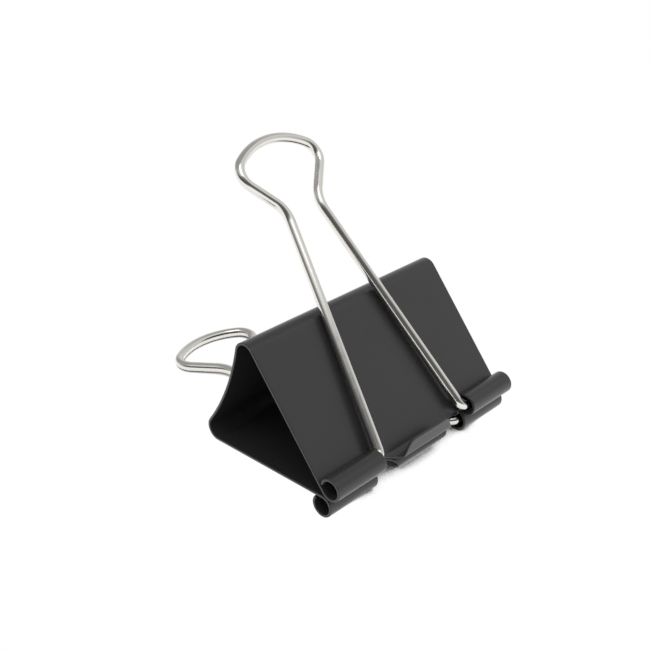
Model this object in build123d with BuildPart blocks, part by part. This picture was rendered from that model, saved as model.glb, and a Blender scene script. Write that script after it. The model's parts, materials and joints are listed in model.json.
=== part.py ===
"""Foldback clip: a sprung sheet-steel body with rolled lips, and two wire handles that hinge in the rolls.

The clip lies as it does on a desk, on its lower rolls and on the tip of its lower handle.
+X runs along the rolls, +Y from the mouth to the spine and +Z up, and the table is at Z = 0.
"""
import os
from math import acos, asin, atan2, cos, degrees, radians, sin, sqrt, tan

from build123d import *

os.makedirs("parts", exist_ok=True)

# Driving dimensions of the body, in millimetres and degrees
clip_width = 51.0
sheet = 0.5
panel_length = 27.6  # flat part of a jaw, from the lip's curl to the bend
panel_angle = 26.0  # slope of a jaw from the clip's middle plane
bend_inside = 2.0  # inside radius between a jaw and the spine
spine_lean = 12.0  # slope at the ends of the spine, which bows in towards the mouth
roll_diameter = 4.5
roll_length = 12.5
roll_slit = 0.3  # between a roll's edge and the panel behind it
notch_curl = 10.0  # the part of the lip's curl that is left across the notches
notch_width = 6.2  # from a roll's end to the tab, where the tab's flat end starts
tab_curl = 66.0  # the part of the lip's curl that the tab follows
tab_bend = 0.65  # inside radius between the lip's curl and the tab's flat end
tab_turn = 68.0  # how far that bend turns the flat end up
tab_height = 2.5
tab_side = 62.0  # slope of the tab's sides, in the flat sheet
tab_foot = 4.5  # rounding where those sides meet the bottoms of the notches
tab_corner = 0.8
lip_gap = 0.2  # between the lips of the closed clip

# Driving dimensions of a handle, to the middle of its wire
wire = 2.0
wire_end_chamfer = 0.2
handle_length = 62.8  # from the hinge axis to the tip
leg_inset = 1.1  # from a roll's end to the leg, at the hinge axis
foot_length = 8.5
foot_bend = 2.0
neck_spacing = 8.3
neck_bend = 6.0
flare_angle = 38.0  # slope of the eye's sides from the handle's length
eye_width = 19.8
eye_corner = 3.5
eye_top = 14.9  # radius of the eye's far side
handle_gap = 0.3  # between a folded handle and the bend that it lies on


def polar(angle, length=1.0):
    """A step of the given length, at an angle in degrees."""
    return Vector(length * cos(radians(angle)), length * sin(radians(angle)))


# The upper half's profile, as depth from the mouth and height over the middle plane
roll_radius = roll_diameter / 2
roll_middle = roll_radius - sheet / 2
roll_center = Vector(0, roll_radius + lip_gap / 2)
lip_angle = panel_angle - 90  # from the roll's centre to the place where the panel starts
roll_curl = 360 - degrees(acos((roll_radius - sheet - roll_slit) / roll_radius))
panel_start = roll_center + polar(lip_angle, roll_middle)
panel_end = panel_start + polar(panel_angle, panel_length)
bend_middle = bend_inside + sheet / 2
bend_center = panel_end + polar(lip_angle, bend_middle)
bend_start = panel_angle + 90
spine_end = bend_center + polar(-spine_lean, bend_middle)
spine_middle = spine_end.Y / sin(radians(spine_lean))
spine_center = spine_end + polar(-spine_lean, spine_middle)
notch_angle = lip_angle - notch_curl
tab_width = clip_width - 2 * (roll_length + notch_width)
tab_middle = tab_bend + sheet / 2
tab_bend_start = lip_angle - tab_curl
tab_center = roll_center + polar(tab_bend_start, roll_middle - tab_middle)
tab_angle = tab_bend_start - tab_turn
tab_start = tab_center + polar(tab_angle, tab_middle)
tab_curl_length = roll_middle * radians(tab_curl - notch_curl)
tab_rise = tab_curl_length + tab_middle * radians(tab_turn)  # along the sheet, from the notches
tab_foot_rise = tab_foot * (1 - cos(radians(tab_side)))

# A folded handle lies on the bend, and the clip on its lower roll and on that handle's tip
hinge_to_bend = bend_center - roll_center
wire_to_bend = bend_inside + sheet + handle_gap + wire / 2
bend_slope = degrees(atan2(hinge_to_bend.Y, hinge_to_bend.X))
handle_angle = bend_slope + degrees(asin(wire_to_bend / hinge_to_bend.length))
rest_tilt = handle_angle - degrees(asin((roll_radius - wire / 2) / handle_length))

# The mouth's place over the table, with the clip's footprint centred on the origin
front_reach = roll_center.Y * sin(radians(rest_tilt)) + roll_radius
back_reach = (
    roll_center.Y * sin(radians(rest_tilt))
    + handle_length * cos(radians(handle_angle - rest_tilt))
    + wire / 2
)
mouth_depth = (front_reach - back_reach) / 2
mouth_height = roll_radius + roll_center.Y * cos(radians(rest_tilt))


def level(angle):
    """A direction in the profile of a level clip, whose mouth is at the origin."""
    step = polar(angle)
    return Vector(0, step.X, step.Y)


def tilted(angle):
    """A direction in the clip's profile, turned with the clip as it lies on the table."""
    return level(angle + rest_tilt)


level_profile = Plane.YZ
resting_place = Location((0, mouth_depth, mouth_height), (rest_tilt, 0, 0))  # of a clip that was built level
profile = Plane(origin=(0, mouth_depth, mouth_height), x_dir=tilted(0), z_dir=(1, 0, 0))
middle_plane = Plane(origin=profile.origin, x_dir=(1, 0, 0), z_dir=tilted(90))
left_end = profile.offset(-clip_width / 2)


def curl(center, middle, start, sweep):
    """A bent stretch of the sheet's section, about a centre."""
    with BuildLine() as section:
        outside = CenterArc(center, middle + sheet / 2, start, sweep)
        inside = CenterArc(center, middle - sheet / 2, start, sweep)
        Line(outside @ 0, inside @ 0)
        Line(outside @ 1, inside @ 1)
    make_face(section.edges())


def straight(start, angle, length):
    """A flat stretch of the sheet's section."""
    half_sheet = polar(angle + 90, sheet / 2)
    end = start + polar(angle, length)
    with BuildLine() as section:
        Polyline(start - half_sheet, end - half_sheet, end + half_sheet, start + half_sheet, close=True)
    make_face(section.edges())


def tab_width_at(rise):
    """The tab's width at a distance along the sheet from the bottoms of the notches."""
    from_flat_end = tab_rise - max(rise, tab_foot_rise)
    half_width = tab_width / 2 + from_flat_end / tan(radians(tab_side))
    if rise < tab_foot_rise:
        half_width += tab_foot * sin(radians(tab_side)) - sqrt(tab_foot**2 - (tab_foot - rise) ** 2)
    return 2 * half_width


def narrowing_curl(center, middle, start, turn, first_rise, stops=6):
    """A bent stretch of the tab, lofted through its sections, which are closer together near its start."""
    sections = []
    for stop in range(stops + 1):
        turned = turn * (stop / stops) ** 2
        across = Plane(
            origin=level_profile.from_local_coords(center + polar(start - turned, middle)),
            x_dir=(1, 0, 0),
            z_dir=level(start - turned - 90),
        )
        with BuildSketch(across) as section:
            Rectangle(tab_width_at(first_rise + middle * radians(turned)), sheet)
        sections.append(section.sketch)
    loft(sections)


# Upper jaw: a tab between two notches, the flat panel with its lip, and two rolls that hold a handle's feet.
# It is built level and from the tab on, because the tab's rounded feet fuse more surely with the sheet so.
tab_plane = Plane(
    origin=level_profile.from_local_coords(tab_start),
    x_dir=(1, 0, 0),
    z_dir=level(tab_angle),
)
with BuildPart() as level_jaw:
    narrowing_curl(roll_center, roll_middle, notch_angle, tab_curl - notch_curl, 0)
    narrowing_curl(tab_center, tab_middle, tab_bend_start, tab_turn, tab_curl_length)
    with BuildSketch(tab_plane) as tab_end:
        Trapezoid(tab_width, tab_height, tab_side, align=(Align.CENTER, Align.MIN))
        fillet(tab_end.vertices().group_by(Axis.Y)[-1], tab_corner)
    extrude(amount=sheet / 2, both=True)
    with BuildSketch(level_profile.offset(-clip_width / 2)):
        straight(panel_start, panel_angle, panel_length)
        curl(roll_center, roll_middle, lip_angle, -notch_curl)
    extrude(amount=clip_width)
    for roll_start in (-clip_width / 2, clip_width / 2 - roll_length):
        with BuildSketch(level_profile.offset(roll_start)):
            curl(roll_center, roll_middle, notch_angle, notch_curl - roll_curl)
        extrude(amount=roll_length)
with BuildPart() as upper_jaw:
    add(level_jaw.part.moved(resting_place))
upper_jaw.part.label = "upper_jaw"
export_step(upper_jaw.part, "parts/upper_jaw.step")

# Lower jaw: the same sheet form on the other side of the middle plane
with BuildPart() as lower_jaw:
    mirror(upper_jaw.part, about=middle_plane)
lower_jaw.part.label = "lower_jaw"
export_step(lower_jaw.part, "parts/lower_jaw.step")

# Upper bend: the stretch that flexes when the jaw opens
with BuildPart() as upper_bend:
    with BuildSketch(left_end):
        curl(bend_center, bend_middle, bend_start, -bend_start - spine_lean)
    extrude(amount=clip_width)
upper_bend.part.label = "upper_bend"
export_step(upper_bend.part, "parts/upper_bend.step")

# Lower bend
with BuildPart() as lower_bend:
    mirror(upper_bend.part, about=middle_plane)
lower_bend.part.label = "lower_bend"
export_step(lower_bend.part, "parts/lower_bend.step")

# Spine: the back strip, bowed in towards the mouth
with BuildPart() as spine:
    with BuildSketch(left_end):
        curl(spine_center, spine_middle, 180 - spine_lean, 2 * spine_lean)
    extrude(amount=clip_width)
spine.part.label = "spine"
export_step(spine.part, "parts/spine.step")

# Upper handle: one wire, from a foot in the right roll, round the eye, to a foot in the left roll
handle_plane = Plane(
    origin=profile.from_local_coords(roll_center),
    x_dir=(1, 0, 0),
    z_dir=tilted(handle_angle + 90),
)
eye_top_center = Vector(0, handle_length - eye_top)
eye_top_turn = degrees(asin((eye_width / 2 - eye_corner) / (eye_top - eye_corner)))
eye_top_start = 90 - eye_top_turn
eye_corner_center = eye_top_center + polar(eye_top_start, eye_top - eye_corner)
eye_side_end = eye_corner_center + polar(-flare_angle, eye_corner)
eye_side_length = (eye_side_end.X - neck_spacing / 2) / sin(radians(flare_angle))
neck = eye_side_end - polar(90 - flare_angle, eye_side_length)
hinge_corner = Vector(clip_width / 2 - roll_length - leg_inset, 0)
foot_end = hinge_corner + Vector(foot_length, 0)
with BuildLine() as handle_outline:
    FilletPolyline(foot_end, hinge_corner, neck, eye_side_end, radius=(foot_bend, neck_bend))
    CenterArc(eye_corner_center, eye_corner, -flare_angle, eye_top_start + flare_angle)
    CenterArc(eye_top_center, eye_top, eye_top_start, eye_top_turn)
    mirror(about=Plane.YZ)
wire_path = handle_plane.from_local_coords(handle_outline.wire())
wire_start = Plane(origin=handle_plane.from_local_coords(foot_end), z_dir=(-1, 0, 0))
with BuildPart() as upper_handle:
    with BuildSketch(wire_start):
        Circle(wire / 2)
    sweep(path=wire_path)
    wire_rings = upper_handle.edges().filter_by(GeomType.CIRCLE).sort_by(Axis.X)
    chamfer((wire_rings[0], wire_rings[-1]), wire_end_chamfer)
upper_handle.part.label = "upper_handle"
export_step(upper_handle.part, "parts/upper_handle.step")

# Lower handle
with BuildPart() as lower_handle:
    mirror(upper_handle.part, about=middle_plane)
lower_handle.part.label = "lower_handle"
export_step(lower_handle.part, "parts/lower_handle.step")
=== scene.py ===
"""Dresses the foldback clip: a painted body, folded from its flat blank, and handles bent from plated wire.

Lengths are in metres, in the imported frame: +X along the rolls, +Y from the mouth to the spine and +Z up.
"""
import json
from math import acos, asin, atan2, ceil, cos, pi, radians, sin, sqrt, tan

import bpy
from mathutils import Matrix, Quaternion, Vector


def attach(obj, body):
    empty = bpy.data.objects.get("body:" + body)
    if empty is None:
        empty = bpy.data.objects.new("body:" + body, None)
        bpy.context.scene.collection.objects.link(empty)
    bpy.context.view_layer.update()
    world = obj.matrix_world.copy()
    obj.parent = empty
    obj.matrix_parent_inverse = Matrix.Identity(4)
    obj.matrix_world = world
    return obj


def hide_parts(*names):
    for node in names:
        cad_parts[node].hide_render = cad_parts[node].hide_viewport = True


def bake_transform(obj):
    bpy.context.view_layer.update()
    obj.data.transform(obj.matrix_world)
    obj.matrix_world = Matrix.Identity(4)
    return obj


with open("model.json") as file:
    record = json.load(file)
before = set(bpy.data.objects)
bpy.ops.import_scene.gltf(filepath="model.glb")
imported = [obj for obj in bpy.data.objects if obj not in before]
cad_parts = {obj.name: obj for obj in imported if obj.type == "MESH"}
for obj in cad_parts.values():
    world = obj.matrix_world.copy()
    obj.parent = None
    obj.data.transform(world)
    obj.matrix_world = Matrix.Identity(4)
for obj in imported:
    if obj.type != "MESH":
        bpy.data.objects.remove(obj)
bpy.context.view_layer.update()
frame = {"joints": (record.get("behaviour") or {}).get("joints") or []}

MM = 0.001

# Sheet sizes
sheet = 0.5 * MM
clip_width = 51 * MM
panel_angle = radians(26)  # slope of a jaw from the clip's middle plane
bend_inside = 2 * MM  # inside radius between a jaw and the spine
spine_lean = radians(12)  # slope at the ends of the spine, which bows in towards the mouth
roll_diameter = 4.5 * MM
roll_length = 12.5 * MM
roll_slit = 0.3 * MM  # between a roll's edge and the panel behind it
notch_curl = radians(10)  # the part of the lip's curl that is left across the notches
notch_width = 6.2 * MM  # from a roll's end to the tab, where the tab's flat end starts
notch_corner = 0.5 * MM  # rounding at the foot of a roll's end
tab_curl = radians(66)  # the part of the lip's curl that the tab follows
tab_bend = 0.65 * MM  # inside radius between the lip's curl and the tab's flat end
tab_turn = radians(68)  # how far that bend turns the flat end up
tab_height = 2.5 * MM
tab_side = radians(62)  # slope of the tab's sides, in the flat sheet
tab_foot = 4.5 * MM  # rounding at the foot of the tab's sides
tab_corner = 0.8 * MM
cut_round = 0.1 * MM  # rounding of the sheet's cut edges under the paint

# Wire sizes, to the middle of the wire
wire = 2 * MM
wire_end_chamfer = 0.2 * MM
handle_length = 62.8 * MM  # from the hinge axis to the tip
leg_inset = 1.1 * MM  # from a roll's end to the leg, at the hinge axis
foot_length = 8.5 * MM
foot_bend = 2 * MM
neck_spacing = 8.3 * MM
neck_bend = 6 * MM
flare_angle = radians(38)  # slope of the eye's sides from the handle's length
eye_width = 19.8 * MM
eye_corner = 3.5 * MM
eye_top = 14.9 * MM  # radius of the eye's far side
handle_gap = 0.3 * MM  # between a folded handle and the bend that it lies on

# Fineness of the meshes
curl_step = radians(4)
flat_step = 1.5 * MM
wire_sides = 40
rim_steps = 3
band_shares = (0, 0.02, 0.2, 0.4, 0.6, 0.8, 0.98, 1)  # columns across a roll or the tab
notch_shares = (0.02, 0.35, 0.65, 0.98)  # columns across a notch
corner_shares = (0.2, 0.4, 0.6, 0.8, 1)  # rows round a corner of the blank
sharp_turn = radians(50)  # between two faces, from which their edge is shaded sharp

# Looks of the enamel
black_low = (0.036, 0.036, 0.0367, 1)
black_high = (0.044, 0.044, 0.0444, 1)
bare_steel = (0.16, 0.155, 0.148, 1)
wear_size = 1.6 * MM
wear_range = (0.6, 0.76)  # of the wear's noise, from covered to barest
most_bare = 0.4
bare_metallic = 0.8
cloud_size = 9 * MM
cloud_range = (0.3, 0.7)  # of the clouds' noise, for the two ends of the roughness
enamel_roughness = (0.27, 0.33)
enamel_index = 1.5  # of refraction
peel_size = 0.7 * MM
peel_strength = 0.05
peel_depth = 0.02 * MM

# Looks of the nickel
nickel_low = (0.66, 0.64, 0.6, 1)
nickel_high = (0.74, 0.725, 0.69, 1)
haze_size = 3 * MM
haze_range = (0.3, 0.7)  # of the haze's noise, for the two ends of the roughness
nickel_roughness = (0.1, 0.19)
pit_size = 0.12 * MM
pit_strength = 0.03
pit_depth = 0.02 * MM

# Floor. Round the clip it has a painted shadow, where it sees little sky, and painted light lifts that
# shadow near the clip's ends; inside it the floor's real shading shows
floor_size = 6.0
floor_drop = 0.01 * MM  # below the height at which the clip rests
floor_grey = 0.65
floor_roughness = 0.9
floor_glow = 0.8  # in reflections, away from the painted shadow round the clip
contact_reach = 8 * MM  # how near the clip has to be to darken the floor with painted shadow
shadow_start = 0.44  # the share of the sky over a place on the floor, below which it starts to darken
shadow_core = 0.24  # the share at which it is darkest
end_light = 0.3  # painted light, added to that share near the clip's ends, where light comes in under it
end_light_start = 14 * MM  # from the clip's middle
end_light_full = 21 * MM

# Room. A pair whose name ends in x or z is the range of a direction's X or Z over which something fades
wall_slope = (0.16, 0.65, 0.745)  # the direction in which the wall's tones follow each other
wall_range = (-0.2, 0.8)  # of the distance in that direction
wall_tones = (  # the place in that range, and the brightness there
    (0.1, 0.13),
    (0.28, 0.3),
    (0.32, 0.5),
    (0.375, 1.15),
    (0.55, 1.0),
    (0.95, 0.42),
)
dark_end_x = (-0.95, -0.58)
dark_end_share = 0.9
dark_end_tone = 0.1
window_x = (0.1, 0.6)
window_top_z = (0.5, 0.9)
window_tone = 0.76
window_foot_z = (0.1, 0.4)
window_foot_share = 0.7
sweep_z = (0.06, 0.12)
sweep_left_x = (-0.85, -0.55)
sweep_left_share = 0.1

# Camera, at the photograph's angle, and lamp
camera_place = Vector((-130.67, -130.62, 116.22)) * MM
camera_aim = Vector((0.15, -5.86, 19.55)) * MM
camera_roll = radians(0.4)
camera_sensor = 36  # in millimetres, as the lens is
camera_lens = 57.5
camera_clip = 1 * MM
lamp_place = Vector((-0.18, -0.39, 1.12))
lamp_size = 0.6
lamp_power = 1.5


def polar(angle, length=1.0):
    """A step of the given length in a profile, at an angle."""
    return Vector((length * cos(angle), length * sin(angle)))


# The clip's profile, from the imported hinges: depth from the mouth, and height over the middle plane
hinges = {joint["name"]: Vector(joint["pos_m"]) for joint in frame["joints"]}
mouth = (hinges["upper_handle_swing"] + hinges["lower_handle_swing"]) / 2
upward = (hinges["upper_handle_swing"] - mouth).normalized()
inward = upward.cross(Vector((1, 0, 0)))


def in_profile(place):
    """The profile's point that a place of the frame lies on."""
    step = place - mouth
    return Vector((step.dot(inward), step.dot(upward)))


def in_frame(x, point, side):
    """The frame's place for a profile point, on the clip's upper side (1) or lower side (-1)."""
    return mouth + Vector((x, 0, 0)) + inward * point.x + upward * (side * point.y)


roll_center = in_profile(hinges["upper_handle_swing"])
bend_center = in_profile(hinges["upper_jaw_flex"])
roll_middle = (roll_diameter - sheet) / 2
bend_middle = bend_inside + sheet / 2
bend_turn = pi / 2 + panel_angle + spine_lean
tab_middle = tab_bend + sheet / 2
tab_width = clip_width - 2 * (roll_length + notch_width)
lip_angle = panel_angle - pi / 2
roll_curl = 2 * pi - acos((roll_diameter / 2 - sheet - roll_slit) / (roll_diameter / 2))
panel_start = roll_center + polar(lip_angle, roll_middle)
panel_end = bend_center - polar(lip_angle, bend_middle)
spine_end = bend_center + polar(-spine_lean, bend_middle)
spine_middle = spine_end.y / sin(spine_lean)
spine_start = spine_end + polar(-spine_lean, spine_middle) - Vector((spine_middle, 0))

# Runs of the strip from the middle of the spine: the length of each, and the angle that it turns through
to_notch = [
    (spine_middle * spine_lean, -spine_lean),
    (bend_middle * bend_turn, bend_turn),
    ((panel_end - panel_start).length, 0),
    (roll_middle * notch_curl, -notch_curl),
]
roll_runs = to_notch + [(roll_middle * (roll_curl - notch_curl), notch_curl - roll_curl)]
tab_runs = to_notch + [
    (roll_middle * (tab_curl - notch_curl), notch_curl - tab_curl),
    (tab_middle * tab_turn, -tab_turn),
    (tab_height, 0),
]


def walk(start, heading, runs, along):
    """The point and the heading at a distance along a line of straight and curved runs."""
    point = start.copy()
    for length, turn in runs:
        step = min(along, length)
        turned = turn * step / length
        if turn:
            ahead = heading + turned
            point += length / turn * Vector((sin(ahead) - sin(heading), cos(heading) - cos(ahead)))
        else:
            point += polar(heading, step)
        heading += turned
        along -= step
        if along <= 0:
            break
    return point, heading


def stops(runs):
    """Distances along some runs, close together on the curved ones."""
    reached = 0
    found = [0]
    for length, turn in runs:
        count = max(ceil(abs(turn) / curl_step), ceil(length / flat_step))
        found += [reached + length * (step + 1) / count for step in range(count)]
        reached += length
    return found


def spread(low, high, shares):
    """Places between two ends."""
    return [low + (high - low) * share for share in shares]


def total(runs):
    """The length of some runs."""
    return sum(length for length, turn in runs)


# The blank's outline, kept in by the rounding that its cut edges get
notch_end = total(to_notch) - cut_round
roll_end = total(roll_runs) - cut_round
tab_end = total(tab_runs) - cut_round
side_edge = clip_width / 2 - cut_round
roll_edge = clip_width / 2 - roll_length + cut_round


def tab_side_edge(along):
    """How far the tab's straight side is from the middle."""
    to_flat = total(tab_runs) - tab_height - along
    return tab_width / 2 - cut_round / sin(tab_side) + to_flat / tan(tab_side)


def rounded(rise, radius):
    """How far a rounded corner has come across, at a height over the edge that it starts from."""
    return sqrt(max(0, radius**2 - (radius - rise) ** 2)) if rise < radius else radius


# A notch's bottom, between the rounded feet of the tab and of a roll's end
tab_foot_rise = tab_foot * (1 - cos(tab_side))
notch_near = tab_side_edge(notch_end + tab_foot_rise) + rounded(tab_foot_rise, tab_foot)
notch_far = roll_edge - notch_corner

# The blank's columns across its right roll, its right notch and the tab
roll_columns = spread(notch_far, side_edge, band_shares)
notch_columns = spread(notch_near, notch_far, notch_shares)
tab_columns = spread(-notch_near, notch_near, band_shares)

# The blank's rows round the tab's feet, the feet of the rolls' ends and the tab's tip
foot_rows = [notch_end + tab_foot * (1 - cos(turn)) for turn in spread(0, tab_side, corner_shares)]
corner_rows = [notch_end + notch_corner * (1 - cos(turn)) for turn in spread(0, pi / 2, corner_shares)]
tip_rows = [tab_end - tab_corner * (1 - sin(turn)) for turn in spread(0, pi / 2, (0,) + corner_shares)]


def mirrored(columns):
    """The same columns on the other side of the clip."""
    return [-x for x in reversed(columns)]


def tab_places(along):
    """The tab's columns at a distance along the blank, from its rounded feet to its rounded tip."""
    rise = along - notch_end
    if rise < tab_foot_rise:
        half_width = notch_near - rounded(rise, tab_foot)
    else:
        half_width = tab_side_edge(along) - tab_corner + rounded(tab_end - along, tab_corner)
    share = half_width / notch_near
    return [x * share for x in tab_columns]


def right_roll_places(along):
    """The right roll's columns at a distance along the blank."""
    inner_edge = notch_far + rounded(along - notch_end, notch_corner)
    share = (side_edge - inner_edge) / (side_edge - notch_far)
    return [side_edge - (side_edge - x) * share for x in roll_columns]


def left_roll_places(along):
    """The left roll's columns at a distance along the blank."""
    return mirrored(right_roll_places(along))


def blank():
    """The flat blank of one half of the body: points as (x, distance along, runs), and its faces."""
    points = []
    faces = []

    def add_row(places, along, runs):
        points.extend((x, along, runs) for x in places)
        return list(range(len(points) - len(places), len(points)))

    def join(lower, upper):
        faces.extend((lower[i], lower[i + 1], upper[i + 1], upper[i]) for i in range(len(lower) - 1))

    def add_zone(lower, runs, first_rows, last_rows, places_at):
        middle_rows = [along for along in stops(runs) if first_rows[-1] < along < last_rows[0]]
        for along in first_rows + middle_rows + last_rows:
            upper = add_row(places_at(along), along, runs)
            join(lower, upper)
            lower = upper

    right_columns = notch_columns + roll_columns
    columns = mirrored(right_columns) + tab_columns + right_columns
    rows = [add_row(columns, along, roll_runs) for along in stops(to_notch)[:-1] + [notch_end]]
    for lower, upper in zip(rows, rows[1:]):
        join(lower, upper)
    left_roll = rows[-1][: len(roll_columns)]
    tab = rows[-1][len(right_columns) : -len(right_columns)]
    right_roll = rows[-1][-len(roll_columns) :]
    add_zone(left_roll, roll_runs, corner_rows, [roll_end], left_roll_places)
    add_zone(tab, tab_runs, foot_rows, tip_rows, tab_places)
    add_zone(right_roll, roll_runs, corner_rows, [roll_end], right_roll_places)
    return points, faces


def rim_offsets(points, faces):
    """The blank's outer edges, and the step at each of their points that moves the outline out by 1."""
    edges = {(a, b) for face in faces for a, b in zip(face, face[1:] + face[:1])}
    outer = sorted((a, b) for a, b in edges if (b, a) not in edges)
    normals = {}
    for a, b in outer:
        step = Vector(points[b][:2]) - Vector(points[a][:2])
        on_seam = points[a][1] == 0 and points[b][1] == 0
        for end in (a, b):
            normals.setdefault(end, [])
            if not on_seam:
                normals[end].append(Vector((step.y, -step.x)).normalized())
    offsets = {}
    for end, found in normals.items():
        if len(found) == 2:
            offsets[end] = (found[0] + found[1]) / (1 + found[0].dot(found[1]))
        else:
            offsets[end] = found[0] if found else Vector((0, 0))
    return outer, offsets


def new_object(name, data):
    """An object in the scene."""
    made = bpy.data.objects.new(name, data)
    bpy.context.scene.collection.objects.link(made)
    return made


def new_piece(name, vertices, faces, material):
    """A closed mesh object, smooth but for its sharper edges."""
    mesh = bpy.data.meshes.new(name)
    mesh.from_pydata(vertices, [], faces)
    mesh.validate()
    mesh.shade_smooth()
    mesh.set_sharp_from_angle(angle=sharp_turn)
    mesh.materials.append(material)
    return new_object(name, mesh)


def folded_half(name, side, material):
    """One half of the body, folded from its blank, with cut_edge kept as 1 on its rim and 0 elsewhere."""
    points, faces = blank()
    outer, offsets = rim_offsets(points, faces)
    rim_turns = spread(0, pi / 2, [step / rim_steps for step in range(rim_steps + 1)])
    rim = [(cut_round * sin(turn), sheet / 2 - cut_round * (1 - cos(turn))) for turn in rim_turns]
    rim += [(out, -over) for out, over in reversed(rim)]
    vertices = []
    edge_share = []

    def add(x, along, runs, over, share):
        point, heading = walk(spine_start, pi / 2, runs, along)
        vertices.append(in_frame(x, point + polar(heading - pi / 2, over), side))
        edge_share.append(share)
        return len(vertices) - 1

    rings = []
    for index, (x, along, runs) in enumerate(points):
        if index in offsets:
            step = offsets[index]
            rings.append([add(x + step.x * out, along + step.y * out, runs, over, 1) for out, over in rim])
        else:
            rings.append([add(x, along, runs, over, 0) for over in (sheet / 2, -sheet / 2)])
    solid = [tuple(rings[corner][0] for corner in face) for face in faces]
    solid += [tuple(rings[corner][-1] for corner in reversed(face)) for face in faces]
    for a, b in outer:
        for upper in range(len(rim) - 1):
            solid.append((rings[b][upper], rings[a][upper], rings[a][upper + 1], rings[b][upper + 1]))
    if side > 0:
        solid = [tuple(reversed(face)) for face in solid]
    piece = new_piece(name, vertices, solid, material)
    share = piece.data.attributes.new("cut_edge", "FLOAT", "POINT")
    share.data.foreach_set("value", edge_share)
    return piece


# Runs of a handle's wire, from its right foot to its left one, in the plane that it lies in
eye_top_turn = asin((eye_width / 2 - eye_corner) / (eye_top - eye_corner))
eye_corner_turn = pi / 2 + flare_angle - eye_top_turn
eye_top_center = Vector((0, handle_length - eye_top))
eye_corner_center = eye_top_center + polar(pi / 2 - eye_top_turn, eye_top - eye_corner)
eye_side_end = eye_corner_center + polar(-flare_angle, eye_corner)
eye_side_length = (eye_side_end.x - neck_spacing / 2) / sin(flare_angle)
neck = eye_side_end - polar(pi / 2 - flare_angle, eye_side_length)
hinge_corner = Vector((clip_width / 2 - roll_length - leg_inset, 0))
leg = neck - hinge_corner
leg_heading = atan2(leg.y, leg.x)
foot_turn = leg_heading - pi
neck_turn = pi / 2 - flare_angle - leg_heading
foot_cut = foot_bend * tan(-foot_turn / 2)
neck_cut = neck_bend * tan(-neck_turn / 2)
half_wire = [
    (foot_length - foot_cut, 0),
    (foot_bend * -foot_turn, foot_turn),
    (leg.length - foot_cut - neck_cut, 0),
    (neck_bend * -neck_turn, neck_turn),
    (eye_side_length - neck_cut, 0),
    (eye_corner * eye_corner_turn, eye_corner_turn),
    (eye_top * eye_top_turn, eye_top_turn),
]
wire_runs = half_wire + half_wire[::-1]
wire_start = hinge_corner + Vector((foot_length, 0))
hinge_to_bend = bend_center - roll_center
wire_to_bend = bend_inside + sheet + handle_gap + wire / 2
handle_angle = atan2(hinge_to_bend.y, hinge_to_bend.x) + asin(wire_to_bend / hinge_to_bend.length)


def bent_handle(name, side, material):
    """A handle's wire: rings of points along its runs, with chamfered ends."""
    length = total(wire_runs)
    first_full = wire_end_chamfer
    last_full = length - wire_end_chamfer
    full_radius = wire / 2
    end_radius = full_radius - wire_end_chamfer
    rings = [(0, end_radius), (first_full, full_radius)]
    rings += [(along, full_radius) for along in stops(wire_runs) if first_full < along < last_full]
    rings += [(last_full, full_radius), (length, end_radius)]
    along_handle = polar(handle_angle)
    off_handle = polar(handle_angle + pi / 2)
    vertices = []
    for along, radius in rings:
        middle, heading = walk(wire_start, pi, wire_runs, along)
        across = polar(heading - pi / 2)
        for index in range(wire_sides):
            turn = 2 * pi * index / wire_sides
            flat = middle + across * (radius * cos(turn))
            point = roll_center + along_handle * flat.y + off_handle * (radius * sin(turn))
            vertices.append(in_frame(flat.x, point, side))
    faces = []
    for ring in range(len(rings) - 1):
        low = ring * wire_sides
        high = low + wire_sides
        for index in range(wire_sides):
            following = (index + 1) % wire_sides
            faces.append((low + index, low + following, high + following, high + index))
    faces.append(tuple(reversed(range(wire_sides))))
    faces.append(tuple(range(len(vertices) - wire_sides, len(vertices))))
    if side < 0:
        faces = [tuple(reversed(face)) for face in faces]
    return new_piece(name, vertices, faces, material)


def shader(name):
    """A new material, its node tree and its main shader."""
    material = bpy.data.materials.new(name)
    material.use_nodes = True
    return material, material.node_tree, material.node_tree.nodes["Principled BSDF"]


def add_node(tree, kind, settings=None, **inputs):
    """A node with its settings, and its inputs set to values or linked to sockets.

    An input goes by its name, with _ for a space, or by its number, as _0.
    """
    node = tree.nodes.new(kind)
    for key, value in (settings or {}).items():
        setattr(node, key, value)
    for key, value in inputs.items():
        number = key[1:]
        socket = node.inputs[int(number) if number.isdigit() else key.replace("_", " ")]
        if isinstance(value, bpy.types.NodeSocket):
            tree.links.new(value, socket)
        else:
            socket.default_value = value
    return node


def noise(tree, place, size, detail, roughness):
    """Noise whose features are about the given size, from 0 to 1."""
    return add_node(
        tree, "ShaderNodeTexNoise", Vector=place, Scale=1 / size, Detail=detail, Roughness=roughness
    ).outputs["Fac"]


def remap(tree, value, low, high, to_low, to_high):
    """A value moved from one range to another, and kept in it."""
    return add_node(
        tree, "ShaderNodeMapRange", Value=value, From_Min=low, From_Max=high, To_Min=to_low, To_Max=to_high
    ).outputs["Result"]


def combine(tree, operation, first, second):
    """Two values put together by a named operation."""
    return add_node(tree, "ShaderNodeMath", {"operation": operation}, _0=first, _1=second).outputs[0]


def mix_colors(tree, share, first, second):
    """A colour between two others."""
    node = add_node(tree, "ShaderNodeMix", {"data_type": "RGBA"}, _0=share, _6=first, _7=second)
    return node.outputs[2]


def grey(tone):
    """A colour without hue."""
    return (tone, tone, tone, 1)


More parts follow.
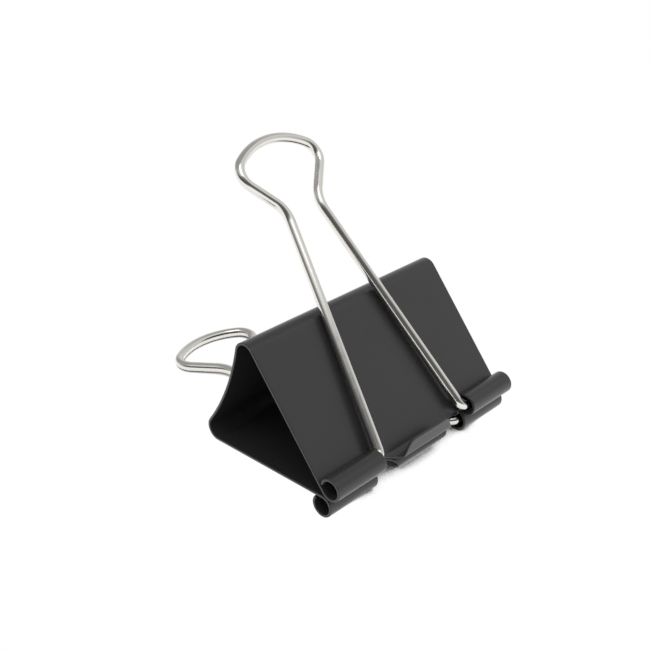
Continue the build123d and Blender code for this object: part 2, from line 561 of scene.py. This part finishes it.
def painted_sheet():
    """Satin black enamel: faint orange peel, uneven gloss, and a little bare steel on the cut edges."""
    material, tree, main = shader("painted_sheet")
    place = add_node(tree, "ShaderNodeTexCoord").outputs["Object"]
    edge = add_node(tree, "ShaderNodeAttribute", {"attribute_name": "cut_edge"}).outputs["Fac"]
    wear = noise(tree, place, wear_size, detail=4, roughness=0.6)
    patches = remap(tree, wear, *wear_range, 0, most_bare)
    bare = combine(tree, "MULTIPLY", combine(tree, "MULTIPLY", edge, edge), patches)
    cloud = noise(tree, place, cloud_size, detail=3, roughness=0.55)
    black = mix_colors(tree, cloud, black_low, black_high)
    tree.links.new(mix_colors(tree, bare, black, bare_steel), main.inputs["Base Color"])
    tree.links.new(combine(tree, "MULTIPLY", bare, bare_metallic), main.inputs["Metallic"])
    tree.links.new(remap(tree, cloud, *cloud_range, *enamel_roughness), main.inputs["Roughness"])
    peel = noise(tree, place, peel_size, detail=1, roughness=0.4)
    bump = add_node(tree, "ShaderNodeBump", Strength=peel_strength, Distance=peel_depth, Height=peel)
    tree.links.new(bump.outputs[0], main.inputs["Normal"])
    main.inputs["IOR"].default_value = enamel_index
    return material


def plated_wire():
    """Bright nickel plate on drawn wire, with haze in patches and fine pits."""
    material, tree, main = shader("plated_wire")
    place = add_node(tree, "ShaderNodeTexCoord").outputs["Object"]
    haze = noise(tree, place, haze_size, detail=4, roughness=0.6)
    tree.links.new(mix_colors(tree, haze, nickel_low, nickel_high), main.inputs["Base Color"])
    tree.links.new(remap(tree, haze, *haze_range, *nickel_roughness), main.inputs["Roughness"])
    pits = noise(tree, place, pit_size, detail=2, roughness=0.5)
    bump = add_node(tree, "ShaderNodeBump", Strength=pit_strength, Distance=pit_depth, Height=pits)
    tree.links.new(bump.outputs[0], main.inputs["Normal"])
    main.inputs["Metallic"].default_value = 1
    return material


def floor_paint():
    """Matt and pale in a painted shadow round the clip; elsewhere clear to the camera, and glowing in
    reflections.

    It is clear from below as well, so that what swings under the table stays in view.
    """
    material, tree, main = shader("studio_floor")
    main.inputs["Base Color"].default_value = grey(floor_grey)
    main.inputs["Roughness"].default_value = floor_roughness
    main.inputs["Specular IOR Level"].default_value = 0
    main.inputs["Emission Color"].default_value = grey(1)
    # Painted shadow: where the clip hides much of the sky, away from its ends, the floor stops glowing in
    # reflections and the camera sees its real shading instead of white
    open_sky = add_node(tree, "ShaderNodeAmbientOcclusion", Distance=contact_reach).outputs["AO"]
    place = add_node(tree, "ShaderNodeTexCoord").outputs["Object"]
    across = add_node(tree, "ShaderNodeSeparateXYZ", Vector=place).outputs["X"]
    from_middle = add_node(tree, "ShaderNodeMath", {"operation": "ABSOLUTE"}, _0=across).outputs[0]
    painted_end_light = remap(tree, from_middle, end_light_start, end_light_full, 0, end_light)
    brightness = combine(tree, "ADD", open_sky, painted_end_light)
    painted_lit_share = remap(tree, brightness, shadow_core, shadow_start, 0, 1)
    rays = add_node(tree, "ShaderNodeLightPath").outputs
    reflected = combine(tree, "MAXIMUM", rays["Is Glossy Ray"], rays["Is Transmission Ray"])
    glow = combine(tree, "MULTIPLY", combine(tree, "MULTIPLY", reflected, painted_lit_share), floor_glow)
    tree.links.new(glow, main.inputs["Emission Strength"])
    from_below = add_node(tree, "ShaderNodeNewGeometry").outputs["Backfacing"]
    from_camera = combine(tree, "MULTIPLY", rays["Is Camera Ray"], painted_lit_share)
    clear = combine(tree, "MAXIMUM", from_camera, from_below)
    see_through = add_node(tree, "ShaderNodeBsdfTransparent").outputs[0]
    surface = add_node(tree, "ShaderNodeMixShader", Fac=clear, _1=main.outputs[0], _2=see_through)
    tree.links.new(surface.outputs[0], tree.nodes["Material Output"].inputs["Surface"])
    return material


def light_room(room):
    """Sets up the room: a wall in bands, a dark left end, a window on the right and a white sweep low down.

    The camera itself sees white.
    """
    direction = add_node(room, "ShaderNodeTexCoord").outputs["Generated"]
    way = add_node(room, "ShaderNodeSeparateXYZ", Vector=direction).outputs
    rise = add_node(room, "ShaderNodeVectorMath", {"operation": "DOT_PRODUCT"}, _0=direction, _1=wall_slope)
    wall = add_node(room, "ShaderNodeValToRGB", Fac=remap(room, rise.outputs["Value"], *wall_range, 0, 1))
    ramp = wall.color_ramp
    ramp.interpolation = "EASE"
    ready_stops = len(ramp.elements)
    for stop, (place, tone) in enumerate(wall_tones):
        element = ramp.elements[stop] if stop < ready_stops else ramp.elements.new(place)
        element.position = place
        element.color = grey(tone)
    dark_end = remap(room, way["X"], *dark_end_x, dark_end_share, 0)
    lit = mix_colors(room, dark_end, wall.outputs["Color"], grey(dark_end_tone))
    window = remap(room, way["X"], *window_x, 0, 1)
    below_top = remap(room, way["Z"], *window_top_z, 1, 0)
    lit = mix_colors(room, combine(room, "MULTIPLY", window, below_top), lit, grey(window_tone))
    window_foot = remap(room, way["Z"], *window_foot_z, window_foot_share, 0)
    lit = mix_colors(room, combine(room, "MULTIPLY", window, window_foot), lit, grey(1))
    low_down = remap(room, way["Z"], *sweep_z, 1, 0)
    not_left = remap(room, way["X"], *sweep_left_x, sweep_left_share, 1)
    lit = mix_colors(room, combine(room, "MULTIPLY", low_down, not_left), lit, grey(1))
    seen = add_node(room, "ShaderNodeLightPath").outputs["Is Camera Ray"]
    background = room.nodes["Background"].inputs
    room.links.new(mix_colors(room, seen, lit, grey(1)), background["Color"])
    background["Strength"].default_value = 1


def facing(place, aim):
    """The turn of a lamp or a camera that looks from a place at its aim."""
    return (aim - place).to_track_quat("-Z", "Y")


# The body, in two halves, the upper and the lower
enamel = painted_sheet()
for side, half in ((1, "upper"), (-1, "lower")):
    piece = folded_half(half + "_sheet", side, enamel)
    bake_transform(piece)
    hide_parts(half + "_jaw", half + "_bend", "spine")

# The handles
nickel = plated_wire()
for side, half in ((1, "upper"), (-1, "lower")):
    piece = bent_handle(half + "_wire", side, nickel)
    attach(piece, half + "_handle")
    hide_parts(half + "_handle")

# Floor
half_floor = floor_size / 2
floor_mesh = bpy.data.meshes.new("studio_floor")
floor_mesh.from_pydata(
    [(x * half_floor, y * half_floor, -floor_drop) for x, y in ((-1, -1), (1, -1), (1, 1), (-1, 1))],
    [],
    [(0, 1, 2, 3)],
)
floor_mesh.materials.append(floor_paint())
floor = new_object("studio_floor", floor_mesh)

# World
world = bpy.data.worlds.new("studio")
world.use_nodes = True
bpy.context.scene.world = world
light_room(world.node_tree)

# Lamp: a large softbox, high up in front
lamp = new_object("front_light", bpy.data.lights.new("front_light", "AREA"))
lamp.data.shape = "SQUARE"
lamp.data.size = lamp_size
lamp.data.energy = lamp_power
lamp.location = lamp_place
lamp.rotation_euler = facing(lamp_place, camera_aim).to_euler()

# Camera
camera = new_object("camera", bpy.data.cameras.new("camera"))
camera.location = camera_place
camera.rotation_mode = "QUATERNION"
camera.rotation_quaternion = facing(camera_place, camera_aim) @ Quaternion((0, 0, 1), camera_roll)
camera.data.sensor_width = camera_sensor
camera.data.lens = camera_lens
camera.data.clip_start = camera_clip
bpy.context.scene.camera = camera
bpy.context.scene.view_settings.view_transform = "Standard"
